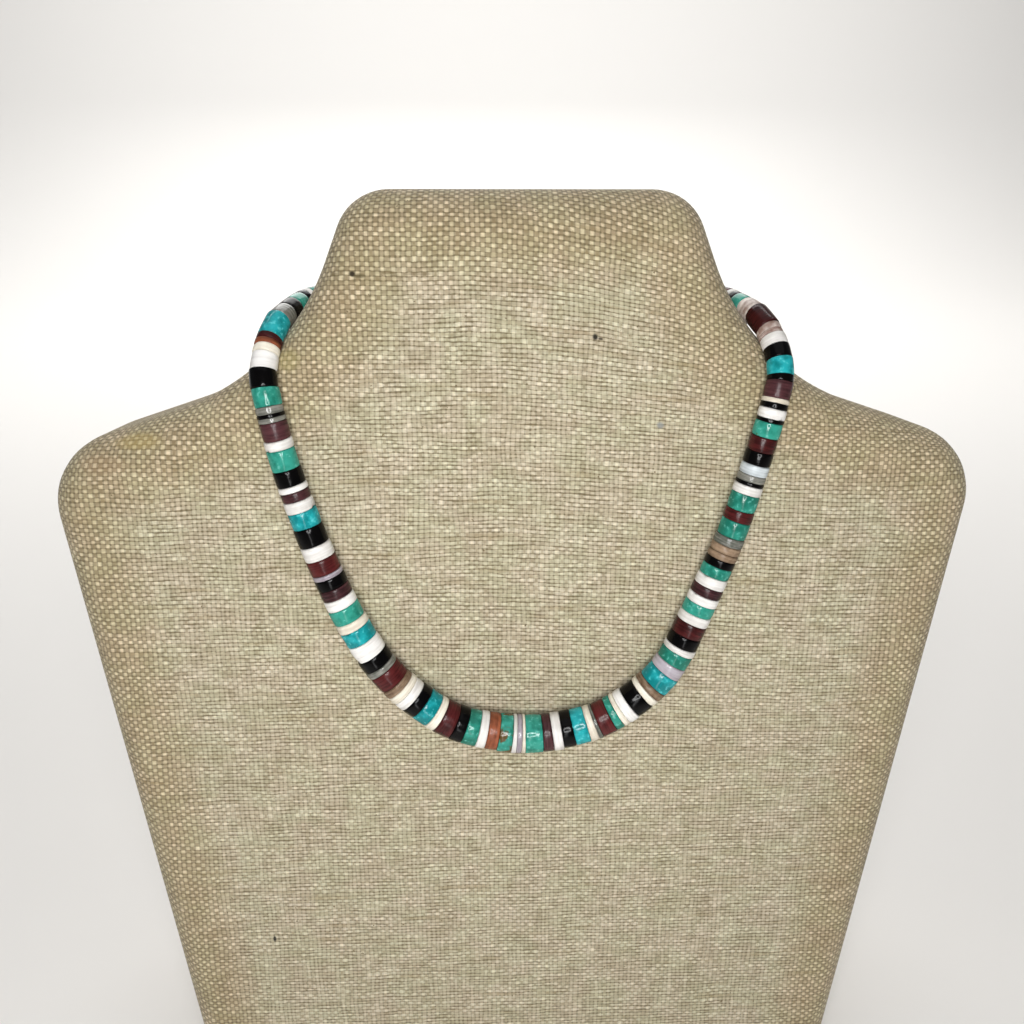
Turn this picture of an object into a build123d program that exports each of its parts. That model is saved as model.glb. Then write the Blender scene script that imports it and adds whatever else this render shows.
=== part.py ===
from build123d import *
from collections import namedtuple
import math
import os

os.makedirs("parts", exist_ok=True)

# A choker of graduated stone and shell discs on a burlap neck bust, in millimetres.
# Z is up, the front faces -Y, and the origin is under the middle of the bust's base.

# Neck bust: widths are between the corners of its front outline, heights go up its front
BUST_HEIGHT = 242.3
FRONT_LEAN = 8.0           # degrees that the flat front leans back
BASE_WIDTH = 172.0
BASE_DEPTH = 78.0
SHOULDER_WIDTH = 220.0
SHOULDER_HEIGHT = 184.3
SHOULDER_ROUND = 17.0
NECK_FOOT_WIDTH = 107.5    # where the sides of the neck meet the slope of the shoulders
NECK_FOOT_HEIGHT = 203.0
NECK_FOOT_ROUND = 57.0
NECK_TOP_WIDTH = 75.8
NECK_TOP_DEPTH = 18.0      # square to the front
NECK_TOP_ROUND = 12.0
SIDE_TAPER = 6.0           # degrees that the sides draw in towards the back
FRONT_EDGE_ROUND = 9.0
BACK_EDGE_ROUND = 7.0

# Thread and clasp
THREAD_DIAMETER = 1.0
THREAD_IN_CLASP = 2.5
CLASP_LENGTH = 13.0
CLASP_DIAMETER = 5.6
CLASP_END_ROUND = 1.8
CLASP_BORE_DEPTH = 3.4
BORE_CLEARANCE = 0.25      # all round the thread, in the discs and in the clasp

# Discs of the string, large in front and small at the clasp
DISC_FRONT_DIAMETER = 9.5
DISC_BACK_DIAMETER = 5.0
DISC_TAPER = 1.6           # power of the fall in size from the front to the clasp
DISC_EDGE = 0.2            # bevel on the rim of a disc
DISC_GAP = 0.12            # left between the nearest edges of two discs
THICKNESS_STEP = 0.25

# The thread's line from one end of the clasp round to the other, each point chosen by eye:
# across the bust, up its front, and out from its front
StringPoint = namedtuple("StringPoint", "across up out")
STRING_ROUTE = [
    StringPoint(THREAD_IN_CLASP - CLASP_LENGTH / 2, 219.0, -27.5),
    StringPoint(-44.2, 219.0, -27.5),
    StringPoint(-50.5, 218.0, -21.8),
    StringPoint(-52.7, 216.2, -13.0),
    StringPoint(-54.4, 214.3, -6.1),
    StringPoint(-56.1, 209.7, -1.7),
    StringPoint(-56.8, 203.7, 2.3),
    StringPoint(-55.2, 195.5, 4.0),
    StringPoint(-53.0, 184.0, 3.7),
    StringPoint(-47.5, 165.5, 4.0),
    StringPoint(-41.0, 148.0, 4.3),
    StringPoint(-32.0, 132.0, 4.6),
    StringPoint(-17.0, 119.5, 4.9),
    StringPoint(1.5, 116.0, 5.1),
    StringPoint(19.5, 119.5, 4.9),
    StringPoint(34.5, 131.5, 4.6),
    StringPoint(41.5, 149.0, 4.3),
    StringPoint(48.0, 166.0, 4.0),
    StringPoint(53.0, 184.5, 3.7),
    StringPoint(55.5, 195.5, 4.0),
    StringPoint(57.3, 203.8, 2.4),
    StringPoint(56.6, 209.7, -1.7),
    StringPoint(54.7, 214.4, -6.2),
    StringPoint(52.8, 216.3, -13.0),
    StringPoint(50.5, 218.0, -21.8),
    StringPoint(44.2, 219.0, -27.5),
    StringPoint(CLASP_LENGTH / 2 - THREAD_IN_CLASP, 219.0, -27.5),
]
ARC_SHARE = 0.45           # of the shorter of two runs, taken up by the arc between them

# Stones and shells, by the letter that stands for them in the order of the discs
STONES = {
    "t": "green_turquoise",
    "b": "blue_turquoise",
    "k": "jet",
    "r": "red_brown_shell",
    "p": "purple_shell",
    "w": "white_shell",
    "c": "cream_shell",
    "g": "grey_pearl",
    "m": "mauve_shell",
    "o": "orange_shell",
}
# The discs that show, from left to right: stone, and thickness in steps of THICKNESS_STEP
FRONT_ORDER = """
    t17 k16 g13 b18 r3 o4 c6 w12 k12 t14 g5 k2 g3 p15 w8 t18 k14 w5 p8 w10 b15 k17 w13 r14
    m4 k10 p10 w9 t14 c8 b14 w15 k11 g5 r15 o6 c6 w8 k10 b12 c6 r13 k9 t11 w7 o10 t12 w3 m4
    c2 t15 p8 w8 k10 b12 c6 g2 r12 t6 c4 w8 k14 c5 o6 b15 m9 t11 w5 k11 r13 w9 t11 w8 p9 w10
    t10 k7 o6 o7 g8 t15 r10 t15 w8 k3 g6 w9 k12 r13 t13 k2 w8 k4 c3 p14 k2 b12 k10 w9 g3 c3
    r19 w16 t14
"""
FRONT_START = 51.1         # along the thread's line, where the first of them begins
# What repeats behind the neck
BACK_ORDER = "k8 w6 r8 t9 w5"

bust_front = Plane(
    origin=(0, -BASE_DEPTH / 2, 0),
    x_dir=(1, 0, 0),
    z_dir=(0, -math.cos(math.radians(FRONT_LEAN)), math.sin(math.radians(FRONT_LEAN))),
)


def bust_outline(depth):
    """The bust's outline seen square to its front, at a depth behind it."""
    draw_in = depth * math.tan(math.radians(SIDE_TAPER))
    right = [
        (BASE_WIDTH / 2 - draw_in, 0),
        (SHOULDER_WIDTH / 2 - draw_in, SHOULDER_HEIGHT),
        (NECK_FOOT_WIDTH / 2 - draw_in, NECK_FOOT_HEIGHT),
        (NECK_TOP_WIDTH / 2 - draw_in, BUST_HEIGHT),
    ]
    left = [(-across, up) for across, up in reversed(right)]
    rounds = [SHOULDER_ROUND, NECK_FOOT_ROUND, NECK_TOP_ROUND]
    sides = FilletPolyline(right + left, radius=rounds + rounds[::-1])
    return bust_front.offset(-depth) * make_face(sides.edges() + Line(left[-1], right[0]).edges())


def edges_round(solid, direction):
    """The edges round the flat face that looks a given way, apart from those on the ground."""
    face = max(solid.faces(), key=lambda f: f.normal_at().dot(direction))
    return [edge for edge in face.edges() if edge.bounding_box().max.Z > 1e-3]


def neck_bust():
    """A padded form with a flat, leaning front, rounded all the way round its edges."""
    deepest = BASE_DEPTH + BUST_HEIGHT * math.sin(math.radians(FRONT_LEAN))
    block = loft([bust_outline(0), bust_outline(deepest)], ruled=True)
    foot = Vector(0, BASE_DEPTH / 2, 0)
    rise = bust_front.from_local_coords((0, BUST_HEIGHT, -NECK_TOP_DEPTH)) - foot
    back = Plane(origin=foot, x_dir=(1, 0, 0), z_dir=Vector(1, 0, 0).cross(rise))
    block = split(block, bisect_by=Plane.XY, keep=Keep.TOP)
    block = split(block, bisect_by=back, keep=Keep.TOP)
    block = fillet(edges_round(block, bust_front.z_dir), FRONT_EDGE_ROUND)
    return fillet(edges_round(block, -back.z_dir), BACK_EDGE_ROUND)


def string_line():
    """The thread's line: straight runs, joined by arcs as large as the runs leave room for."""
    points = [bust_front.from_local_coords((p.across, p.up, p.out)) for p in STRING_ROUTE]
    radii = []
    for before, here, after in zip(points, points[1:], points[2:]):
        turn = (here - before).get_angle(after - here)
        shorter = min((here - before).length, (after - here).length)
        radii.append(ARC_SHARE * shorter / math.tan(math.radians(turn / 2)))
    print("radii of the string's line:", [round(r, 1) for r in radii])
    return FilletPolyline(points, radius=radii)


def place(line, along):
    """A plane square to the thread, at a distance along it."""
    return Plane(
        origin=line.position_at(along, position_mode=PositionMode.LENGTH),
        z_dir=line.tangent_at(along, position_mode=PositionMode.LENGTH),
    )


def disc_diameter(line, along):
    """Discs grow from the clasp to the middle of the front."""
    from_middle = min(abs(2 * along / line.length - 1), 1)
    growth = (DISC_FRONT_DIAMETER - DISC_BACK_DIAMETER) * (1 - from_middle) ** DISC_TAPER
    return DISC_BACK_DIAMETER + growth


def lay_discs(line, order, start, stretch=1.0):
    """Disc after disc, each as (stone, thickness, distance along the line) of its middle."""
    laid = []
    face = start
    for token in order:
        stone = STONES[token[0]]
        thickness = int(token[1:]) * THICKNESS_STEP * stretch
        middle = face + thickness / 2
        if laid:
            last = place(line, laid[-1][2])
            radius = disc_diameter(line, middle) / 2
            for _ in range(3):
                turn = math.radians(last.z_dir.get_angle(place(line, middle).z_dir))
                middle = face + DISC_GAP + radius * turn + thickness / 2
        laid.append((stone, thickness, middle))
        face = middle + thickness / 2
    return laid, face


def fill_discs(line, start, end):
    """The repeat behind the neck, made a little thicker or thinner to fill its stretch."""
    repeat = BACK_ORDER.split()
    order = []
    while sum(int(token[1:]) * THICKNESS_STEP + DISC_GAP for token in order) < end - start:
        order.append(repeat[len(order) % len(repeat)])
    stretch = 1.0
    for _ in range(3):
        laid, reached = lay_discs(line, order, start, stretch)
        stretch += (end - reached) / sum(thickness for _, thickness, _ in laid) * stretch
    return lay_discs(line, order, start, stretch)[0]


def disc(diameter, thickness):
    """A flat disc with bevelled rims, drilled for the thread."""
    rim = diameter / 2
    bore = THREAD_DIAMETER / 2 + BORE_CLEARANCE
    half = thickness / 2
    edge = min(DISC_EDGE, thickness / 4)
    section = Polyline(
        (bore, -half), (rim - edge, -half), (rim, edge - half), (rim, half - edge),
        (rim - edge, half), (bore, half), close=True,
    )
    return revolve(Plane.XZ * make_face(section.edges()), Axis.Z)


def bead_string(line):
    """All the discs, from one end of the clasp to the other."""
    first_face = THREAD_IN_CLASP + DISC_GAP
    last_face = line.length - first_face
    front, front_end = lay_discs(line, FRONT_ORDER.split(), FRONT_START)
    left = fill_discs(line, first_face, FRONT_START - DISC_GAP)
    right = fill_discs(line, front_end + DISC_GAP, last_face)
    print("discs:", len(left), len(front), len(right), "front ends at", round(front_end, 1))
    solids = []
    for stone, thickness, along in left + front + right:
        solid = place(line, along) * disc(disc_diameter(line, along), thickness)
        solid.label = stone
        solids.append(solid)
    return Compound(children=solids)


def thread(line):
    """One thread through all the discs, with both its ends inside the clasp."""
    start = place(line, 0)
    return sweep(start * Circle(THREAD_DIAMETER / 2), path=line)


def clasp(line):
    """A plain barrel behind the neck, drilled at both ends for the thread."""
    middle = (line @ 0 + line @ 1) / 2
    barrel = Cylinder(CLASP_DIAMETER / 2, CLASP_LENGTH)
    barrel = fillet(barrel.edges().filter_by(GeomType.CIRCLE), CLASP_END_ROUND)
    bore = Cylinder(THREAD_DIAMETER / 2 + BORE_CLEARANCE, CLASP_BORE_DEPTH)
    reach = (CLASP_LENGTH - CLASP_BORE_DEPTH) / 2
    for end in (-reach, reach):
        barrel -= Pos(0, 0, end) * bore
    return Plane(origin=middle, z_dir=(1, 0, 0)) * barrel


route = string_line()
print("string and clasp, all round:",
      round(route.length + CLASP_LENGTH - 2 * THREAD_IN_CLASP, 1))
export_step(neck_bust(), "parts/neck_bust.step")
export_step(thread(route), "parts/thread.step")
export_step(bead_string(route), "parts/bead_string.step")
export_step(clasp(route), "parts/clasp.step")
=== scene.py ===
import math
import random

import bmesh
import bpy
from mathutils import Matrix, Vector


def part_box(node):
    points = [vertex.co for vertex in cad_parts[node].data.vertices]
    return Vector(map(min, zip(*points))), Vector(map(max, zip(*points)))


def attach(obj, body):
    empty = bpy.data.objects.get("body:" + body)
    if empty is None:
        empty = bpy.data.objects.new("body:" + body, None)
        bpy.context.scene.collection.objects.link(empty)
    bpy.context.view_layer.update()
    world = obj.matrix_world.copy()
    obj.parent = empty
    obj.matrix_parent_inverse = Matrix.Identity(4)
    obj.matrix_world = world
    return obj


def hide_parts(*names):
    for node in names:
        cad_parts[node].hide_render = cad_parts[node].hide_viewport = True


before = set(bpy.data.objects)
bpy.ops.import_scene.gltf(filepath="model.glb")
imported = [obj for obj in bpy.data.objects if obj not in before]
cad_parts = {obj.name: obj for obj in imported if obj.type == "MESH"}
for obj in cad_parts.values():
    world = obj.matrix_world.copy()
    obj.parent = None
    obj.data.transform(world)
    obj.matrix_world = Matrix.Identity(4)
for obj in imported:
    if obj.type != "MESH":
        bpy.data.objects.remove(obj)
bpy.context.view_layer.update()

# Burlap cover of the neck bust
# A padded form covered in natural jute burlap. One sheet lies flat on the leaning front and is drawn
# over its rounded edges and along its sides, and a second panel closes the back.
BUST_HEIGHT = 0.2423
FRONT_LEAN = math.radians(8)
BASE_WIDTH = 0.172
BASE_DEPTH = 0.078
SHOULDER_WIDTH = 0.220
SHOULDER_HEIGHT = 0.1843
SHOULDER_ROUND = 0.017
NECK_FOOT_WIDTH = 0.1075
NECK_FOOT_HEIGHT = 0.203
NECK_FOOT_ROUND = 0.057
NECK_TOP_WIDTH = 0.0758
NECK_TOP_DEPTH = 0.018
NECK_TOP_ROUND = 0.012
SIDE_TAPER = math.radians(6)
FRONT_EDGE_ROUND = 0.009
BACK_EDGE_ROUND = 0.007
CLOTH_THICK = 0.00025      # that the burlap stands proud of the form
BELOW_GROUND = 0.02        # the rows of faces start this far down and are cut off level with the base
MESH_STEP = 0.0035
COLUMNS = 44
FRONT_EDGE_STEPS = 8
SIDE_STEPS = 12
BACK_EDGE_STEPS = 6
WARP_PITCH = 0.00112       # between the threads that run up the front
WEFT_PITCH = 0.001         # between the threads that run across it
EDGE_ZONE = 0.016          # beside the rounded edges, where the cloth is painted browner, with more painted shade between the knuckles and less between the rows
ROWS_SLOPE = 0.005
CHEST_SAG = 0.0045         # of the rows at the right, above where the sag begins
CHEST_SAG_FROM = 0.09
CHEST_SAG_GROWS_OVER = 0.04
CHEST_SAG_LEFT = -0.015
CHEST_SAG_WIDTH = 0.095
NECK_SAG = 2.6             # grows with the square of the way to the right
NECK_SAG_LEFT = -0.012
SHARP_FROM = math.radians(40)
FLECKS = [
    # across the front, up it, half its width, half its height, how strong, colour
    (0.0158, 0.2115, 0.0006, 0.0007, 1.0, (0.02, 0.015, 0.008)),
    (0.0170, 0.2111, 0.0005, 0.0003, 0.9, (0.05, 0.035, 0.02)),
    (-0.0651, 0.0550, 0.0004, 0.0009, 1.0, (0.02, 0.015, 0.01)),
    (-0.0366, 0.2251, 0.0006, 0.0006, 1.0, (0.03, 0.02, 0.008)),
    (-0.0350, 0.2247, 0.0012, 0.0005, 0.6, (0.08, 0.06, 0.02)),
    (-0.0410, 0.2250, 0.0014, 0.0005, 0.6, (0.12, 0.085, 0.03)),
    (-0.0290, 0.2254, 0.0016, 0.0004, 0.7, (0.14, 0.1, 0.04)),
    (-0.0225, 0.2251, 0.0030, 0.0004, 0.55, (0.14, 0.1, 0.04)),
    (0.0311, 0.1916, 0.0008, 0.0008, 0.7, (0.25, 0.27, 0.27)),
    (-0.0521, 0.2069, 0.0030, 0.0025, 0.25, (0.4, 0.36, 0.1)),
    (-0.0868, 0.1892, 0.0055, 0.0020, 0.3, (0.5, 0.36, 0.1)),
    (-0.0945, 0.1838, 0.0060, 0.0020, 0.28, (0.28, 0.17, 0.08)),
]

ACROSS = Vector((1, 0, 0))
UP_FRONT = Vector((0, math.sin(FRONT_LEAN), math.cos(FRONT_LEAN)))
INTO_FRONT = Vector((0, math.cos(FRONT_LEAN), -math.sin(FRONT_LEAN)))


def on_bust(across, up, depth):
    """A place by how far across the bust, up its front and behind its front it is."""
    return Vector((0, -BASE_DEPTH / 2, 0)) + ACROSS * across + UP_FRONT * up + INTO_FRONT * depth


def back_depth(up):
    """How far behind the front the flat back lies, at a height up the front."""
    foot = Vector((0, BASE_DEPTH / 2, 0))
    square_to_back = ACROSS.cross(on_bust(0, BUST_HEIGHT, NECK_TOP_DEPTH) - foot)
    return (foot - on_bust(0, up, 0)).dot(square_to_back) / INTO_FRONT.dot(square_to_back)


def right_side():
    """Points up the right side of the front's outline, each with the way it faces and its run."""
    corners = [
        Vector((BASE_WIDTH / 2, 0)),
        Vector((SHOULDER_WIDTH / 2, SHOULDER_HEIGHT)),
        Vector((NECK_FOOT_WIDTH / 2, NECK_FOOT_HEIGHT)),
        Vector((NECK_TOP_WIDTH / 2, BUST_HEIGHT)),
        Vector((0, BUST_HEIGHT)),
    ]
    rounds = [SHOULDER_ROUND, NECK_FOOT_ROUND, NECK_TOP_ROUND]
    side = []
    here = corners[0] - (corners[1] - corners[0]).normalized() * BELOW_GROUND
    for run, (corner, after, radius) in enumerate(zip(corners[1:], corners[2:], rounds)):
        way_in = math.atan2(*(corner - here).yx)
        way_out = math.atan2(*(after - corner).yx)
        turn = math.remainder(way_out - way_in, 2 * math.pi)
        bend = math.copysign(radius, turn)
        begin = corner - (corner - here).normalized() * radius * math.tan(abs(turn) / 2)
        facing = Vector((math.sin(way_in), -math.cos(way_in)))
        steps = math.ceil((begin - here).length / MESH_STEP)
        side += [(here.lerp(begin, k / steps), facing, run) for k in range(steps)]
        centre = begin - facing * bend
        steps = 2 * math.ceil(radius * abs(turn) / MESH_STEP)
        for k in range(steps):
            angle = way_in + turn * k / steps
            facing = Vector((math.sin(angle), -math.cos(angle)))
            side.append((centre + facing * bend, facing, run + (2 * k >= steps)))
        here = centre + Vector((math.sin(way_out), -math.cos(way_out))) * bend
    side.append((here, Vector((0, 1)), run + 1))
    return side


def around_edge(up):
    """Steps from the flat front to the flat back: (way out from the front's flat, depth, way gone)."""
    quarter = math.pi / 2
    steps = []
    for k in range(FRONT_EDGE_STEPS + 1):
        angle = quarter * k / FRONT_EDGE_STEPS
        way_out = FRONT_EDGE_ROUND * math.sin(angle)
        steps.append((way_out, FRONT_EDGE_ROUND * (1 - math.cos(angle)), FRONT_EDGE_ROUND * angle))
    straight = back_depth(up) - FRONT_EDGE_ROUND - BACK_EDGE_ROUND
    for k in range(1, SIDE_STEPS + 1):
        gone = straight * k / SIDE_STEPS
        steps.append((FRONT_EDGE_ROUND, FRONT_EDGE_ROUND + gone, FRONT_EDGE_ROUND * quarter + gone))
    for k in range(1, BACK_EDGE_STEPS + 1):
        angle = quarter * k / BACK_EDGE_STEPS
        steps.append((
            FRONT_EDGE_ROUND - BACK_EDGE_ROUND * (1 - math.cos(angle)),
            back_depth(up) - BACK_EDGE_ROUND * (1 - math.sin(angle)),
            FRONT_EDGE_ROUND * quarter + straight + BACK_EDGE_ROUND * angle,
        ))
    return steps


def drawn_cloth(across, up):
    """Where the weave lies that ends up at a place: its rows sag to the right, most of all on the neck."""
    neck = min(1, max(0, (up - SHOULDER_HEIGHT) / (BUST_HEIGHT - SHOULDER_HEIGHT)))
    over_chest = min(1, max(0, (up - CHEST_SAG_FROM) / CHEST_SAG_GROWS_OVER))
    step = min(1, max(0, (across - CHEST_SAG_LEFT) / CHEST_SAG_WIDTH))
    chest_sag = CHEST_SAG * over_chest * step * step * (3 - 2 * step)
    neck_sag = NECK_SAG * neck * max(0, across - NECK_SAG_LEFT) ** 2
    return across, up + ROWS_SLOPE * across + (chest_sag + neck_sag)


def cover_mesh():
    """The cover as rows of faces, with the lie of its cloth in a UV map called weave, in metres.

    The back panel comes from further along the same cloth."""
    side = right_side()
    flat_top = side[-1][0].x
    rim = list(side)
    top_facing, top_run = side[-1][1:]
    for k in range(1, COLUMNS):
        rim.append((Vector((flat_top * (1 - 2 * k / COLUMNS), BUST_HEIGHT)), top_facing, top_run))
    last_run = 2 * side[-1][2]
    rim += [(Vector((-at.x, at.y)), Vector((-to.x, to.y)), last_run - run) for at, to, run in reversed(side)]
    way_of_run = {run: to for _, to, run in rim}
    edge_of_flat = [at - to * FRONT_EDGE_ROUND for at, to, _ in rim]
    mesh = bmesh.new()
    cloth = mesh.loops.layers.uv.new("weave")
    near_edge = mesh.verts.layers.float.new("near_edge")

    def panel(corners, places, further_along=0):
        face = mesh.faces.new(corners)
        for loop, place in zip(face.loops, places):
            across, up = drawn_cloth(*place)
            loop[cloth].uv = across + further_along, up

    rings = []
    for at, to, _ in rim:
        inner = at - to * FRONT_EDGE_ROUND
        lean_in = max(-1, min(1, at.x / flat_top)) * math.tan(SIDE_TAPER)
        ring = []
        for out, depth, gone in around_edge(at.y):
            place = inner + to * out
            vert = mesh.verts.new(on_bust(place.x - lean_in * depth, place.y, depth))
            vert[near_edge] = 1
            ring.append((vert, inner, gone))
        rings.append(ring)
    turned = FRONT_EDGE_ROUND * math.pi / 2
    for here, there, (_, to, run), (_, next_to, _) in zip(rings, rings[1:], rim, rim[1:]):
        for (a, b), (c, d) in zip(zip(here, here[1:]), zip(there, there[1:])):
            places = []
            for (_, inner, gone), way in ((a, to), (b, to), (d, next_to), (c, next_to)):
                places.append(inner + way * min(gone, turned) + way_of_run[run] * max(0, gone - turned))
            panel((a[0], b[0], d[0], c[0]), places)
    for end in (0, -1):
        rows = []
        for right, left in zip(rings, reversed(rings[-len(side):])):
            first, last = right[end][0], left[end][0]
            row = [first]
            for k in range(1, COLUMNS):
                if right is rings[len(side) - 1]:
                    row.append(rings[len(side) - 1 + k][end][0])
                else:
                    vert = mesh.verts.new(first.co.lerp(last.co, k / COLUMNS))
                    here = Vector((vert.co.x, (vert.co - on_bust(0, 0, 0)).dot(UP_FRONT)))
                    vert[near_edge] = max(0, 1 - min((here - at).length for at in edge_of_flat) / EDGE_ZONE)
                    row.append(vert)
            rows.append(row + [last])
            if right is rings[len(side) - 1]:
                break
        for low, high in zip(rows, rows[1:]):
            for k in range(COLUMNS):
                corners = (low[k], low[k + 1], high[k + 1], high[k])
                places = [(v.co.x, (v.co - on_bust(0, 0, 0)).dot(UP_FRONT)) for v in corners]
                panel(corners, places, -end)
    everything = mesh.verts[:] + mesh.edges[:] + mesh.faces[:]
    bmesh.ops.bisect_plane(mesh, geom=everything, plane_co=(0, 0, 0), plane_no=(0, 0, 1), clear_inner=True)
    bmesh.ops.holes_fill(mesh, edges=[edge for edge in mesh.edges if edge.is_boundary])
    bmesh.ops.recalc_face_normals(mesh, faces=mesh.faces)
    mesh.normal_update()
    for vert in mesh.verts:
        vert.co += vert.normal * CLOTH_THICK
        vert.co.z = max(0, vert.co.z)
    return mesh


def add_piece(name, mesh, *nodes):
    """A smooth object from a finished mesh, riding on the one body and standing for CAD nodes."""
    data = bpy.data.meshes.new(name)
    mesh.to_mesh(data)
    mesh.free()
    data.shade_smooth()
    data.set_sharp_from_angle(angle=SHARP_FROM)
    piece = bpy.data.objects.new(name, data)
    bpy.context.collection.objects.link(piece)
    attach(piece, "root")
    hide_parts(*nodes)
    return piece


def add_node(tree, kind, inputs, **settings):
    """A new shader node with its settings and inputs made; gives its first output."""
    new = tree.nodes.new(kind)
    for name, value in settings.items():
        setattr(new, name, value)
    for name, value in inputs.items():
        if isinstance(value, bpy.types.NodeSocket):
            tree.links.new(value, new.inputs[name])
        else:
            new.inputs[name].default_value = value
    return new.outputs[0]


def sum_up(tree, operation, *numbers):
    """A sum done by a Math node."""
    return add_node(tree, "ShaderNodeMath", dict(enumerate(numbers)), operation=operation)


def noise(tree, place, size, detail=2.0):
    """Noise from 0 to 1 whose patches are about that size."""
    return add_node(tree, "ShaderNodeTexNoise", {"Vector": place, "Scale": 1 / size, "Detail": detail})


def ramp(tree, value, low, high, to_low=0.0, to_high=1.0):
    """A value that runs smoothly between two others while its source goes from low to high."""
    limits = {"Value": value, "From Min": low, "From Max": high, "To Min": to_low, "To Max": to_high}
    return add_node(tree, "ShaderNodeMapRange", limits, interpolation_type="SMOOTHSTEP")


def mix_colours(tree, share, first, second, way="MIX"):
    """Two colours mixed, each a socket or red, green and blue."""
    mix = tree.nodes.new("ShaderNodeMix")
    mix.data_type = "RGBA"
    mix.blend_type = way
    for socket, value in zip((mix.inputs[0], mix.inputs[6], mix.inputs[7]), (share, first, second)):
        if isinstance(value, bpy.types.NodeSocket):
            tree.links.new(value, socket)
        else:
            socket.default_value = (*value, 1) if isinstance(value, tuple) else value
    return mix.outputs[2]


def new_material(name, roughness):
    """A material with nothing fed yet; gives it, its tree and its shader."""
    material = bpy.data.materials.new(name)
    material.use_nodes = True
    shader = material.node_tree.nodes["Principled BSDF"]
    shader.inputs["Roughness"].default_value = roughness
    return material, material.node_tree, shader


def parts_of(tree, vector):
    """The three parts of a vector."""
    split = tree.nodes.new("ShaderNodeSeparateXYZ")
    tree.links.new(vector, split.inputs[0])
    return split.outputs


def stretched(tree, place, share_across, share_up):
    """A place on the cloth, moved less one way than the other, so that noise made from it runs long."""
    shares = (share_across, share_up, 1)
    return add_node(tree, "ShaderNodeVectorMath", {0: place, 1: shares}, operation="MULTIPLY")


def yarn(tree, at, other_at, along, slub_seed, least, most):
    """One set of parallel yarns: how round they stand, whether over the other set, and their number."""
    number = sum_up(tree, "FLOOR", at)
    place = add_node(tree, "ShaderNodeCombineXYZ", {0: sum_up(tree, "MULTIPLY", number, slub_seed), 1: along})
    half = ramp(tree, noise(tree, place, 0.005, 3), 0.25, 0.75, least, most)
    off = sum_up(tree, "SUBTRACT", sum_up(tree, "FRACT", at), 0.5)
    square = sum_up(tree, "POWER", sum_up(tree, "DIVIDE", off, half), 2)
    round_of_yarn = sum_up(tree, "SQRT", sum_up(tree, "MAXIMUM", sum_up(tree, "SUBTRACT", 1, square), 0))
    phase = sum_up(tree, "MULTIPLY", sum_up(tree, "ADD", other_at, number), math.pi)
    return round_of_yarn, sum_up(tree, "SINE", phase), number


def yarn_tone(tree, number, along, seed, dark, light):
    """The colour of a set of yarns: each its own tone, which drifts along it."""
    drawn_out = sum_up(tree, "MULTIPLY", along, 0.3)
    place = add_node(tree, "ShaderNodeCombineXYZ", {0: drawn_out, 1: sum_up(tree, "MULTIPLY", number, seed)})
    return mix_colours(tree, ramp(tree, noise(tree, place, 0.0025, 3), 0.33, 0.67), dark, light)


def fleck(tree, cloth, colour, across, up, half_width, half_height, strength, fleck_colour):
    """The cloth's colour with one fleck or stain in it, at a place on the front."""
    at_fleck = (*drawn_cloth(across, up), 0)
    off = add_node(tree, "ShaderNodeVectorMath", {0: cloth, 1: at_fleck}, operation="SUBTRACT")
    to_size = (1 / half_width, 1 / half_height, 0)
    off = add_node(tree, "ShaderNodeVectorMath", {0: off, 1: to_size}, operation="MULTIPLY")
    length = tree.nodes.new("ShaderNodeVectorMath")
    length.operation = "LENGTH"
    tree.links.new(off, length.inputs[0])
    share = ramp(tree, length.outputs["Value"], 0.5, 1.4, strength, 0.0)
    return mix_colours(tree, share, colour, fleck_colour)


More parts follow.
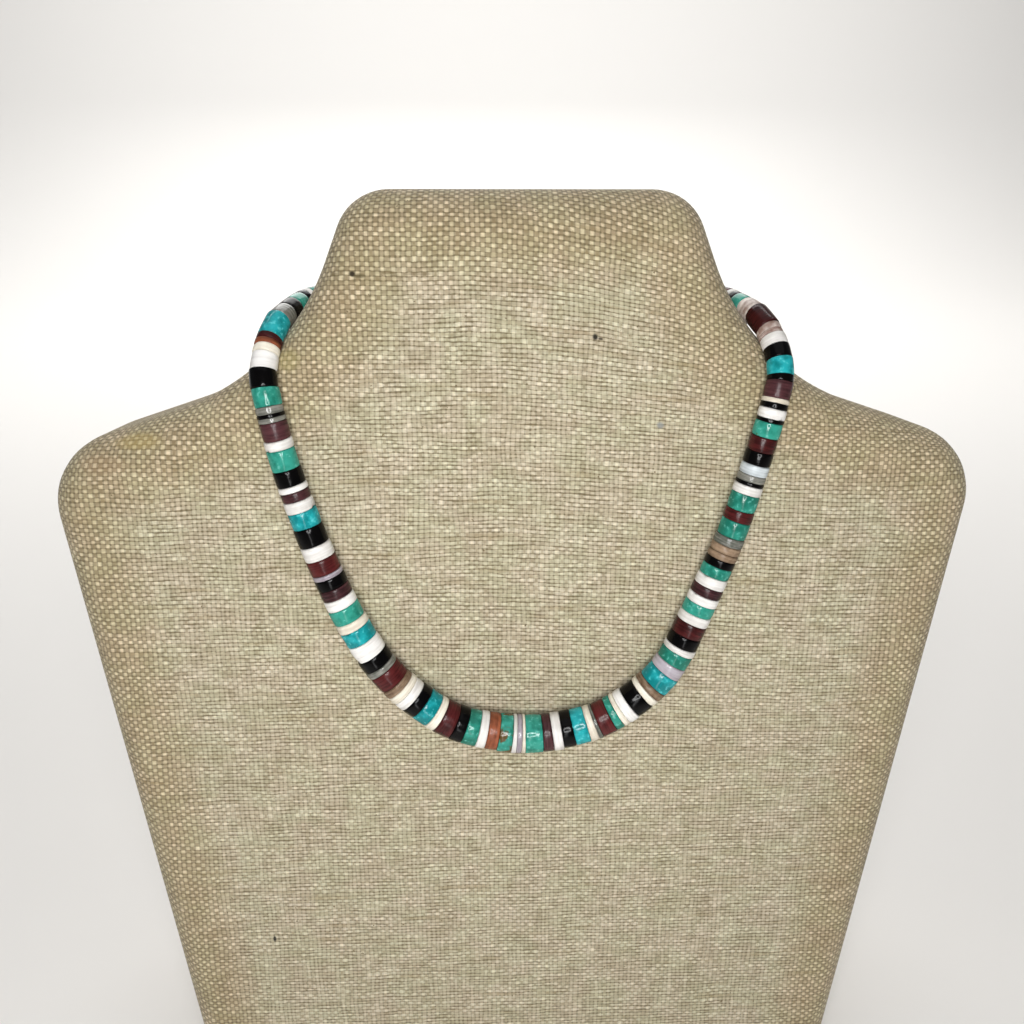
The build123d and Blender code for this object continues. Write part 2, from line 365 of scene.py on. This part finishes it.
def burlap():
    """Plain weave of jute: uneven yarns and flecks, with painted shade in the gaps and between the knuckles;
    at the edges the knuckle shade grows stronger and painted shade turns the cloth browner.
    """
    material, tree, shader = new_material("burlap", 0.9)
    cloth = add_node(tree, "ShaderNodeUVMap", {}, uv_map="weave")
    across, up, _ = parts_of(tree, cloth)
    along_weft, along_warp = stretched(tree, cloth, 0.3, 1), stretched(tree, cloth, 1, 0.3)
    kinks = sum_up(tree, "MULTIPLY_ADD", noise(tree, cloth, 0.002, 2), 0.25, noise(tree, cloth, 0.02, 2))
    to_side = sum_up(tree, "MULTIPLY_ADD", noise(tree, along_warp, 0.006, 4), 1.4, kinks)
    to_top = sum_up(tree, "MULTIPLY_ADD", noise(tree, along_weft, 0.006, 4), 1.6, kinks)
    warp_at = sum_up(tree, "MULTIPLY_ADD", across, 1 / WARP_PITCH, to_side)
    weft_at = sum_up(tree, "MULTIPLY_ADD", up, 1 / WEFT_PITCH, to_top)
    warp_round, warp_over, warp_no = yarn(tree, warp_at, weft_at, up, 0.0173, 0.27, 0.47)
    weft_round, weft_over, weft_no = yarn(tree, weft_at, warp_at, across, 0.0131, 0.28, 0.56)
    warp_high = sum_up(tree, "MULTIPLY", warp_round, sum_up(tree, "MULTIPLY_ADD", warp_over, 0.17, 0.43))
    weft_high = sum_up(tree, "MULTIPLY", weft_round, sum_up(tree, "MULTIPLY_ADD", weft_over, -0.17, 0.57))
    height = sum_up(tree, "ADD", warp_high, weft_high)
    warp_tone = yarn_tone(tree, warp_no, up, 0.013, (0.4, 0.345, 0.235), (0.58, 0.52, 0.39))
    weft_tone = yarn_tone(tree, weft_no, across, 0.011, (0.47, 0.415, 0.29), (0.67, 0.61, 0.47))
    colour = mix_colours(tree, sum_up(tree, "GREATER_THAN", warp_high, weft_high), weft_tone, warp_tone)
    patches = ramp(tree, noise(tree, cloth, 0.009), 0.35, 0.65)
    greener = mix_colours(tree, patches, (0.97, 1.0, 0.95), (1.01, 0.98, 0.98))
    colour = mix_colours(tree, 1.0, colour, greener, "MULTIPLY")
    uneven = ramp(tree, noise(tree, stretched(tree, cloth, 0.5, 1), 0.0009, 3), 0.3, 0.7)
    paler = mix_colours(tree, uneven, (0.8, 0.79, 0.76), (1.11, 1.11, 1.11))
    colour = mix_colours(tree, 1.0, colour, paler, "MULTIPLY")
    edge = tree.nodes.new("ShaderNodeAttribute")
    edge.attribute_name = "near_edge"
    to_edge = ramp(tree, edge.outputs["Fac"], 0.0, 1.0)
    # Painted shade: near the edges, where the cloth turns away from the light, its colour turns browner and a
    # little darker.
    browner = mix_colours(tree, 1.0, colour, (1.02, 0.96, 0.86), "MULTIPLY")
    colour = mix_colours(tree, to_edge, colour, browner)
    # Painted shade between the weft knuckles, where the weft dips under: faint on the flat front, stronger
    # near the edges, where the light grazes.
    shaded = sum_up(tree, "MULTIPLY_ADD", to_edge, 0.4, 0.13)
    shaded = sum_up(tree, "MULTIPLY", ramp(tree, weft_over, -0.95, 0.3), shaded)
    colour = mix_colours(tree, shaded, colour, (0.15, 0.105, 0.045))
    streaks = ramp(tree, noise(tree, stretched(tree, cloth, 0.1, 1), 0.0022, 2), 0.58, 0.74, 0.0, 0.35)
    colour = mix_colours(tree, streaks, colour, (0.31, 0.23, 0.11))
    specks = ramp(tree, noise(tree, cloth, 0.0011, 1), 0.73, 0.79)
    colour = mix_colours(tree, specks, colour, (0.2, 0.15, 0.08))
    # Painted shade in the gaps between the weft rows, where the warp lies deep in shadow; its depth varies in
    # patches, and it is lighter at the edges.
    row_shade_depth = ramp(tree, noise(tree, stretched(tree, cloth, 0.25, 1), 0.0016, 3), 0.36, 0.64)
    shade_between_rows = mix_colours(tree, row_shade_depth, (0.5, 0.46, 0.37), (0.88, 0.86, 0.81))
    shade_between_rows = mix_colours(tree, to_edge, shade_between_rows, (0.84, 0.81, 0.75))
    lit = mix_colours(tree, ramp(tree, weft_round, 0.0, 0.8), shade_between_rows, (1.0, 1.0, 1.0))
    colour = mix_colours(tree, 1.0, colour, lit, "MULTIPLY")
    # Painted shade in the gaps between the warp yarns.
    colour = mix_colours(tree, 1.0, colour, ramp(tree, warp_round, 0.0, 0.8, 0.83, 1.0), "MULTIPLY")
    # Painted shade: where the yarns sink low, in the hollows of the weave, the colour turns dark brown.
    colour = mix_colours(tree, ramp(tree, height, -0.1, 0.6), (0.15, 0.115, 0.06), colour)
    for its_own in FLECKS:
        colour = fleck(tree, cloth, colour, *its_own)
    tree.links.new(colour, shader.inputs["Base Color"])
    bump = add_node(tree, "ShaderNodeBump", {"Height": height, "Distance": 0.0002, "Strength": 0.7})
    tree.links.new(bump, shader.inputs["Normal"])
    shader.inputs["Sheen Weight"].default_value = 0.1
    return material


cover = add_piece("burlap_cover", cover_mesh(), "neck_bust")
cover.data.materials.append(burlap())


# Beading thread
# A waxed twisted thread that runs through every disc and ends in the clasp. Hardly any of it shows,
# because the discs lie face to face.
def beading_thread():
    """Pale waxed thread with a fine twist."""
    material, tree, shader = new_material("beading_thread", 0.55)
    place = tree.nodes.new("ShaderNodeTexCoord").outputs["Object"]
    strands = {"Vector": place, "Scale": 900.0, "Distortion": 1.5}
    twist = add_node(tree, "ShaderNodeTexWave", strands, bands_direction="DIAGONAL")
    colour = mix_colours(tree, twist, (0.16, 0.14, 0.11), (0.34, 0.31, 0.25))
    tree.links.new(colour, shader.inputs["Base Color"])
    bump = add_node(tree, "ShaderNodeBump", {"Height": twist, "Distance": 0.0001})
    tree.links.new(bump, shader.inputs["Normal"])
    return material


def finish_node(name, material):
    """Gives a CAD node, whose own shape is kept, its material."""
    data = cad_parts[name].data
    data.materials.clear()
    data.materials.append(material)


finish_node("thread", beading_thread())


# Green turquoise discs, and how every disc is made
# Each disc is cut from stone or shell and drilled, and the strung strand is ground round and polished
# as one. The order along the front follows the photograph, and a plain repeat goes behind the neck.
FRONT_STONES = """
    tkgbrocw ktgkgpwt kwpwbkwr mkpwtcbw kgrncwkb crktwoTw mctpwkbc
    grtcwkcn bmtwkrwt wpwtknng trtwkglk rtkwkcpk bkwssdst
"""
BACK_STONES = "kwrtw"
HOLE = 0.0015
RIM_ROUND = 0.00028
RIM_STEPS = 3
CROWN_STEPS = 4
CROWNED = math.radians(1.5), math.radians(5)   # slope that a disc's rounded rim ends in
AROUND_DISC = 48
STILL_OPEN = 0.00004       # between the faces of two discs
OUT_OF_ROUND = 0.008       # as a share of the radius
OUT_OF_LINE = 0.00005
FACE_LEAN = 0.02           # of a thick disc's faces, out of square to the thread
HALF_OF_THICK = 0.0012     # half the thickness from which a disc counts as thick
BITE_INTO_RIM = 0.3        # as a share of half the disc's thickness, and so is the next
BITE_INTO_FACE = 0.2
END_FACES = 0.9            # least share of its way along the thread that an end's normal has
dice = random.Random(7)


def string_discs():
    """Every disc's middle, way along the thread, radius and half its thickness, from the clasp's left end."""
    mesh = bmesh.new()
    mesh.from_mesh(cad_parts["bead_string"].data)
    bmesh.ops.remove_doubles(mesh, verts=mesh.verts, dist=1e-6)
    left = set(mesh.faces)
    solids = []
    while left:
        solid, edge = [], [left.pop()]
        while edge:
            face = edge.pop()
            solid.append(face)
            near = {other for side in face.edges for other in side.link_faces} & left
            left -= near
            edge += near
        points = {vert.co.copy().freeze() for face in solid for vert in face.verts}
        faces = [face.normal * face.calc_area() for face in solid]
        solids.append((sum(points, Vector()) / len(points), points, faces))
    mesh.free()
    clasp_low, clasp_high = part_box("clasp")
    here = Vector((clasp_low.x, *((clasp_low + clasp_high) / 2).yz))
    in_order = []
    while solids:
        nearest = min(solids, key=lambda solid: (solid[0] - here).length)
        solids.remove(nearest)
        in_order.append(nearest)
        here = nearest[0]
    discs = []
    neighbours = zip(in_order[:1] + in_order, in_order, in_order[1:] + in_order[-1:])
    for before, (middle, points, faces), after in neighbours:
        guess = (after[0] - before[0]).normalized()
        flat = [face for face in faces if abs(face.normalized().dot(guess)) > END_FACES]
        way = sum((face * math.copysign(1, face.dot(guess)) for face in flat), Vector()).normalized()
        offsets = [point - middle for point in points]
        half = max(offset.dot(way) for offset in offsets)
        radius = max((offset - way * offset.dot(way)).length for offset in offsets)
        discs.append((middle, way, radius, half))
    return discs


def shared_faces(discs):
    """The planes in which the discs meet, from the first one's open face to the last one's."""
    middle, way, _, half = discs[0]
    planes = [(middle - way * half, way)]
    for (middle, way, _, half), (next_middle, next_way, _, next_half) in zip(discs, discs[1:]):
        between = (middle + way * half + next_middle - next_way * next_half) / 2
        most = FACE_LEAN * min(1, min(half, next_half) / HALF_OF_THICK)
        lean = Vector(dice.uniform(-most, most) for _ in range(3))
        planes.append((between, ((way + next_way) / 2 + lean).normalized()))
    middle, way, _, half = discs[-1]
    return planes + [(middle + way * half, way)]


def disc_section(radius, half, crown):
    """A section from one rim of the hole to the other: way out, share of the thickness, way added to it."""
    rim = min(RIM_ROUND, half / 2)
    drop = half * math.tan(crown) / 2
    edge = []
    for k in range(RIM_STEPS + 1):
        turn = crown + (math.pi / 2 - crown) * k / RIM_STEPS
        edge.append((radius - drop - rim * (math.cos(crown) - math.cos(turn)), rim * (1 - math.sin(turn))))
    low = [(out, 0, inset) for out, inset in reversed(edge)]
    high = [(out, 1, -inset) for out, inset in edge]
    shares = [k / CROWN_STEPS for k in range(1, CROWN_STEPS)]
    middle = [(radius - drop * (2 * share - 1) ** 2, share, 0) for share in shares]
    return [(HOLE / 2, 0, 0), *low, *middle, *high, (HOLE / 2, 1, 0)]


def add_disc(mesh, number, chips):
    """One disc, never quite round, true or square to the thread; chips are bites out of its rims."""
    middle, way, radius, half = discs_on_string[number]
    around_thread = way.to_track_quat("Z", "Y")
    middle = middle + way.orthogonal().normalized() * dice.uniform(-OUT_OF_LINE, OUT_OF_LINE)
    oval, lobes = dice.uniform(0, math.tau), dice.uniform(0, math.tau)
    bites = [(dice.uniform(0, math.tau), dice.uniform(0.1, 0.3), dice.choice((-1, 1))) for _ in range(chips)]
    section = disc_section(radius, half, dice.uniform(*CROWNED))
    rings = []
    for k in range(AROUND_DISC):
        angle = math.tau * k / AROUND_DISC
        to_side = around_thread @ Vector((math.cos(angle), math.sin(angle), 0))
        swell = math.sin(2 * angle + oval) + 0.5 * math.sin(5 * angle + lobes)
        ring = []
        for out, share, inset in section:
            if out > HOLE:
                out *= 1 + OUT_OF_ROUND * (swell - 1)
                for at, wide, end in bites:
                    near = math.exp(-(math.remainder(angle - at, math.tau) / wide) ** 2)
                    at_rim = max(0, (2 * share - 1) * end) ** 2
                    out -= BITE_INTO_RIM * half * near * at_rim
                    inset -= BITE_INTO_FACE * half * near * at_rim * end
            place = middle + to_side * out
            low, high = [
                (on_plane - place).dot(facing) / way.dot(facing)
                for on_plane, facing in meeting[number:number + 2]
            ]
            low, high = low + STILL_OPEN / 2, high - STILL_OPEN / 2
            ring.append(mesh.verts.new(place + way * (low + (high - low) * share + inset)))
        rings.append(ring)
    own_shade, cloth = mesh.faces.layers.float["own_shade"], mesh.loops.layers.uv["round_disc"]
    shade, start = dice.random(), dice.uniform(0, 1)
    for k, (ring, next_ring) in enumerate(zip(rings, rings[1:] + rings[:1])):
        for j in range(len(section)):
            other = (j + 1) % len(section)
            face = mesh.faces.new((ring[j], next_ring[j], next_ring[other], ring[other]))
            face[own_shade] = shade
            for loop, (turn, point) in zip(face.loops, ((k, j), (k + 1, j), (k + 1, other), (k, other))):
                out, share, inset = section[point]
                gone = 2 * half * share + inset + (0 if out > radius / 2 else out)
                loop[cloth].uv = (start + math.tau * turn / AROUND_DISC * radius, start + gone)


def add_discs(name, letters, chips=0):
    """All the discs of one stone as one piece, in their places on the string."""
    mesh = bmesh.new()
    mesh.faces.layers.float.new("own_shade")
    mesh.loops.layers.uv.new("round_disc")
    for number, letter in enumerate(string_order):
        if letter in letters:
            add_disc(mesh, number, chips)
    bmesh.ops.recalc_face_normals(mesh, faces=mesh.faces)
    return add_piece("discs_" + name, mesh, "bead_string")


discs_on_string = string_discs()
meeting = shared_faces(discs_on_string)
front_order = "".join(FRONT_STONES.split())
behind = (len(discs_on_string) - len(front_order)) // 2
back_order = (BACK_STONES * behind)[:behind + 1]
string_order = (back_order[:behind] + front_order + back_order)[:len(discs_on_string)]


def own_place(tree):
    """Where a point is on the object, shifted from disc to disc; gives the disc's own shade too."""
    shade = tree.nodes.new("ShaderNodeAttribute")
    shade.attribute_name = "own_shade"
    place = tree.nodes.new("ShaderNodeTexCoord").outputs["Object"]
    shift = add_node(tree, "ShaderNodeCombineXYZ", {k: shade.outputs["Fac"] for k in range(3)})
    return add_node(tree, "ShaderNodeVectorMath", {0: place, 1: shift}, operation="ADD"), shade.outputs["Fac"]


def turquoise(name, deep, bright, pale, matrix, matrix_from):
    """Polished turquoise: clouds of deep and bright colour, pale flecks and brown matrix."""
    material, tree, shader = new_material(name, 0.12)
    place, shade = own_place(tree)
    own = sum_up(tree, "MULTIPLY_ADD", shade, 0.3, -0.15)
    clouds = sum_up(tree, "ADD", noise(tree, place, 0.0022, 4), own)
    colour = mix_colours(tree, ramp(tree, clouds, 0.3, 0.68), deep, bright)
    colour = mix_colours(tree, ramp(tree, noise(tree, place, 0.0011, 3), 0.56, 0.76), colour, pale)
    veins = sum_up(tree, "ADD", noise(tree, place, 0.0035, 5), sum_up(tree, "MULTIPLY", shade, 0.12))
    colour = mix_colours(tree, ramp(tree, veins, matrix_from, matrix_from + 0.08), colour, matrix)
    tree.links.new(colour, shader.inputs["Base Color"])
    bump = add_node(tree, "ShaderNodeBump", {"Height": noise(tree, place, 0.0012), "Distance": 0.00004})
    tree.links.new(bump, shader.inputs["Normal"])
    shader.inputs["Specular IOR Level"].default_value = 0.3
    return material


green_discs = add_discs("green_turquoise", "t")
green_discs.data.materials.append(
    turquoise(
        "green_turquoise",
        (0.012, 0.15, 0.105), (0.035, 0.31, 0.235), (0.12, 0.45, 0.37), (0.06, 0.13, 0.04), 0.8,
    )
)


# Green turquoise disc with matrix
# One green disc, low in the front, is cut where brown host rock crosses the stone as an olive and
# brown part.
veined_discs = add_discs("veined_turquoise", "T")
veined_discs.data.materials.append(
    turquoise(
        "veined_turquoise",
        (0.01, 0.14, 0.09), (0.04, 0.32, 0.25), (0.12, 0.44, 0.36), (0.1, 0.06, 0.018), 0.56,
    )
)


# Blue turquoise discs
# Deeper, cleaner blue stone from another vein, cut, drilled and polished in the same way.
blue_discs = add_discs("blue_turquoise", "b")
blue_discs.data.materials.append(
    turquoise(
        "blue_turquoise",
        (0.004, 0.19, 0.2), (0.02, 0.4, 0.43), (0.11, 0.58, 0.6), (0.01, 0.12, 0.11), 0.78,
    )
)


# Jet discs
# Black jet, dense and even, which takes the highest polish of all and shows sharp reflections.
def jet():
    """Black with the faintest brown, mirror smooth but for a slight unevenness."""
    material, tree, shader = new_material("jet", 0.15)
    place, _ = own_place(tree)
    black = mix_colours(tree, noise(tree, place, 0.002), (0.0004, 0.0004, 0.0006), (0.002, 0.0015, 0.0015))
    tree.links.new(black, shader.inputs["Base Color"])
    bump = add_node(tree, "ShaderNodeBump", {"Height": noise(tree, place, 0.0015), "Distance": 0.00005})
    tree.links.new(bump, shader.inputs["Normal"])
    shader.inputs["Specular IOR Level"].default_value = 0.16
    return material


jet_discs = add_discs("jet", "k")
jet_discs.data.materials.append(jet())


# Red-brown shell discs
# Thick shell of a dark red-brown, in fine layers that run round each disc as rings.
def layered_shell(name, dark, light, roughness=0.3, layer=0.0004, cloudy=0.002, shine=0.22):
    """Polished shell: thin layers round the disc, clouds across them."""
    material, tree, shader = new_material(name, roughness)
    place, shade = own_place(tree)
    along, across, _ = parts_of(tree, add_node(tree, "ShaderNodeUVMap", {}, uv_map="round_disc"))
    drawn_out = sum_up(tree, "MULTIPLY", along, 0.08)
    in_layers = add_node(tree, "ShaderNodeCombineXYZ", {0: drawn_out, 1: across, 2: shade})
    layers = noise(tree, in_layers, layer, 3)
    clouds = sum_up(tree, "MULTIPLY", noise(tree, place, cloudy, 4), 0.3)
    share = sum_up(tree, "MULTIPLY_ADD", layers, 0.55, clouds)
    share = sum_up(tree, "MULTIPLY_ADD", shade, 0.15, share)
    tree.links.new(mix_colours(tree, ramp(tree, share, 0.32, 0.68), dark, light), shader.inputs["Base Color"])
    bump = add_node(tree, "ShaderNodeBump", {"Height": layers, "Distance": 0.00003})
    tree.links.new(bump, shader.inputs["Normal"])
    shader.inputs["Specular IOR Level"].default_value = shine
    return material


red_discs = add_discs("red_brown_shell", "r")
red_discs.data.materials.append(
    layered_shell("red_brown_shell", (0.03, 0.005, 0.005), (0.1, 0.015, 0.015), 0.22)
)


# Dark brown shell disc
# One thick disc of the same shell, at the right of the neck, is almost black-brown.
dark_disc = add_discs("dark_brown_shell", "d")
dark_disc.data.materials.append(
    layered_shell("dark_brown_shell", (0.012, 0.002, 0.002), (0.045, 0.006, 0.006), 0.2)
)


# Purple shell discs
# Dark purple-brown shell, a little greyer than the red, with soft streaks.
purple_discs = add_discs("purple_shell", "p")
purple_discs.data.materials.append(
    layered_shell("purple_shell", (0.025, 0.009, 0.01), (0.09, 0.032, 0.036), 0.24)
)


# White shell discs
# Clam shell ground almost pure white, with hardly a line in it and small chips at the rims.
white_discs = add_discs("white_shell", "w", chips=1)
white_discs.data.materials.append(
    layered_shell("white_shell", (0.62, 0.59, 0.55), (0.88, 0.86, 0.83), 0.35, 0.0006, 0.003)
)


# Pale grey shell disc
# One disc in the right side of the strand comes from a cool grey layer of the white shell.
pale_disc = add_discs("pale_grey_shell", "l")
pale_disc.data.materials.append(
    layered_shell("pale_grey_shell", (0.3, 0.33, 0.34), (0.62, 0.67, 0.69), 0.25, 0.0006, 0.002)
)


# Mottled shell discs
# Three discs of the white shell at the right of the neck have pinkish brown spots and clouds.
mottled_discs = add_discs("mottled_shell", "s", chips=2)
mottled_discs.data.materials.append(
    layered_shell("mottled_shell", (0.22, 0.13, 0.1), (0.78, 0.7, 0.64), 0.3, 0.0009, 0.0009)
)


# Cream shell discs
# The outer, yellower layer of the same shell, in thinner discs whose rims chip more.
cream_discs = add_discs("cream_shell", "c", chips=1)
cream_discs.data.materials.append(
    layered_shell("cream_shell", (0.62, 0.55, 0.44), (0.87, 0.82, 0.7), 0.38, 0.0005, 0.0015)
)


# Grey pearl discs
# Mother of pearl in thin grey slices, polished, with a soft pink and green shimmer.
grey_discs = add_discs("grey_pearl", "g")
grey_discs.data.materials.append(
    layered_shell("grey_pearl", (0.07, 0.078, 0.062), (0.26, 0.25, 0.22), 0.16, 0.0003, 0.0018, 0.5)
)


# Mauve shell discs
# Pale purple-grey shell, even in colour and well polished.
mauve_discs = add_discs("mauve_shell", "m")
mauve_discs.data.materials.append(
    layered_shell("mauve_shell", (0.24, 0.2, 0.23), (0.46, 0.42, 0.46), 0.16, 0.0005, 0.002, 0.5)
)


# Orange shell discs
# Orange-brown spiny oyster with clouds of both colours.
orange_discs = add_discs("orange_shell", "o", chips=1)
orange_discs.data.materials.append(
    layered_shell("orange_shell", (0.09, 0.025, 0.012), (0.34, 0.1, 0.045), 0.24, 0.0007, 0.0014)
)


# Tan shell discs
# Browner discs of the same shell, with pinkish grey clouds.
tan_discs = add_discs("tan_shell", "n", chips=1)
tan_discs.data.materials.append(
    layered_shell("tan_shell", (0.1, 0.06, 0.035), (0.33, 0.23, 0.15), 0.24, 0.0006, 0.0012)
)


# Barrel clasp
# Turned brass with a satin silver finish, in one piece behind the neck, with the thread knotted and
# glued into both its ends. The photograph doesn't show it.
def satin_silver():
    """Brushed metal: fine scratches round the barrel."""
    material, tree, shader = new_material("clasp_metal", 0.34)
    place = tree.nodes.new("ShaderNodeTexCoord").outputs["Object"]
    squeezed = add_node(tree, "ShaderNodeVectorMath", {0: place, 1: (14.0, 1.0, 1.0)}, operation="MULTIPLY")
    scratches = noise(tree, squeezed, 0.0015, 4)
    colour = mix_colours(tree, scratches, (0.5, 0.48, 0.45), (0.78, 0.76, 0.72))
    tree.links.new(colour, shader.inputs["Base Color"])
    bump = add_node(tree, "ShaderNodeBump", {"Height": scratches, "Distance": 0.00002})
    tree.links.new(bump, shader.inputs["Normal"])
    shader.inputs["Metallic"].default_value = 1.0
    return material


finish_node("clasp", satin_silver())


# Floor, light and camera
# A pale sweep of paper under and behind the bust, a ring light and a narrow strip in front, wide soft
# lights above and behind, one on the paper, and the camera above the neck, looking down at the front.
CAMERA_DISTANCE = 0.2219
CAMERA_ABOVE_SQUARE = math.radians(16.96)   # above the line square to the leaning front
CAMERA_TO_LEFT = math.radians(2.74)
CAMERA_ROLL = math.radians(0.4)
AIM_ACROSS = -0.00252
AIM_UP = 0.1715
FOCAL_SHARE = 959.74 / 1024                 # focal length as a share of the picture's width
FLOOR_SIZE = 6.0
SWEEP_START = 0.9
SWEEP_BEND = 0.9
SWEEP_STEPS = 24
RING_PLACE = (-0.02, -0.29, 0.262)
RING_AIMED_UP = 0.13
RING_INNER = 0.046
RING_OUTER = 0.076
RING_STEPS = 64
RING_BRIGHTNESS = 24.5


def floor_mesh():
    """Flat paper that turns up in a wide curve behind."""
    mesh = bmesh.new()
    line = [(-FLOOR_SIZE / 2, 0)]
    for k in range(SWEEP_STEPS + 1):
        angle = math.pi / 2 * k / SWEEP_STEPS
        line.append((SWEEP_START + SWEEP_BEND * math.sin(angle), SWEEP_BEND * (1 - math.cos(angle))))
    line.append((SWEEP_START + SWEEP_BEND, FLOOR_SIZE / 2))
    rows = [[mesh.verts.new((side * FLOOR_SIZE / 2, y, z)) for side in (-1, 1)] for y, z in line]
    for low, high in zip(rows, rows[1:]):
        mesh.faces.new((low[0], low[1], high[1], high[0]))
    return mesh


floor_data = bpy.data.meshes.new("floor")
floor_made = floor_mesh()
floor_made.to_mesh(floor_data)
floor_made.free()
floor_data.shade_smooth()
floor = bpy.data.objects.new("floor", floor_data)
bpy.context.collection.objects.link(floor)
paper, _, paper_shader = new_material("pale_paper", 0.9)
paper_shader.inputs["Base Color"].default_value = (0.78, 0.76, 0.73, 1)
floor_data.materials.append(paper)


def add_light(name, place, aim, size, watts):
    """A rectangular soft light at a place, turned to what it lights."""
    data = bpy.data.lights.new(name, "AREA")
    data.shape = "RECTANGLE"
    data.size, data.size_y = size
    data.energy = watts
    light = bpy.data.objects.new(name, data)
    light.location = place
    light.visible_camera = False
    light.rotation_euler = (Vector(aim) - Vector(place)).to_track_quat("-Z", "Y").to_euler()
    bpy.context.collection.objects.link(light)


def ring_light():
    """A ring of light round the line of the lens, whose reflection is the double line on the discs."""
    mesh = bmesh.new()
    turns = [math.tau * k / RING_STEPS for k in range(RING_STEPS)]
    inner = [mesh.verts.new((RING_INNER * math.cos(turn), RING_INNER * math.sin(turn), 0)) for turn in turns]
    outer = [mesh.verts.new((RING_OUTER * math.cos(turn), RING_OUTER * math.sin(turn), 0)) for turn in turns]
    for k in range(RING_STEPS):
        mesh.faces.new((inner[k - 1], outer[k - 1], outer[k], inner[k]))
    data = bpy.data.meshes.new("ring_light")
    mesh.to_mesh(data)
    mesh.free()
    ring = bpy.data.objects.new("ring_light", data)
    ring.location = RING_PLACE
    to_front = on_bust(0, RING_AIMED_UP, 0) - Vector(RING_PLACE)
    ring.rotation_euler = to_front.to_track_quat("-Z", "Y").to_euler()
    ring.visible_camera = False
    ring.visible_shadow = False
    bpy.context.collection.objects.link(ring)
    material, _, shader = new_material("ring_light", 0.5)
    shader.inputs["Base Color"].default_value = (0, 0, 0, 1)
    shader.inputs["Emission Color"].default_value = (1, 1, 1, 1)
    shader.inputs["Emission Strength"].default_value = RING_BRIGHTNESS
    data.materials.append(material)


ring_light()
add_light("front_strip", (-0.02, -0.44, 0.1), (-0.01, 0, 0.13), (0.05, 0.3), 0.22)
add_light("overhead_softbox", (0, -0.1, 1.3), (0, 0, 0.1), (1.4, 1.4), 2.6)
add_light("backdrop_light", (0, 0.6, 1.2), (0, 1.6, 0.3), (1.6, 0.5), 20)
add_light("back_softbox", (0, 1.1, 0.8), (0, 0, 0.1), (0.9, 0.9), 5)
world = bpy.data.worlds.new("studio")
world.use_nodes = True
world.node_tree.nodes["Background"].inputs["Color"].default_value = (0.95, 0.97, 1, 1)
world.node_tree.nodes["Background"].inputs["Strength"].default_value = 0.16
bpy.context.scene.world = world
bpy.context.scene.view_settings.view_transform = "Standard"

back = (
    -ACROSS * math.sin(CAMERA_TO_LEFT) * math.cos(CAMERA_ABOVE_SQUARE)
    + UP_FRONT * math.sin(CAMERA_ABOVE_SQUARE)
    - INTO_FRONT * math.cos(CAMERA_TO_LEFT) * math.cos(CAMERA_ABOVE_SQUARE)
)
right = Vector((0, 0, 1)).cross(back).normalized()
top = back.cross(right)
rolled_right = right * math.cos(CAMERA_ROLL) + top * math.sin(CAMERA_ROLL)
rolled_top = back.cross(rolled_right)
camera = bpy.data.objects.new("camera", bpy.data.cameras.new("camera"))
camera.data.lens = camera.data.sensor_width * FOCAL_SHARE
place = on_bust(AIM_ACROSS, AIM_UP, 0) + back * CAMERA_DISTANCE
turned = Matrix((rolled_right, rolled_top, back)).transposed()
camera.matrix_world = Matrix.LocRotScale(place, turned.to_quaternion(), None)
bpy.context.collection.objects.link(camera)
bpy.context.scene.camera = camera
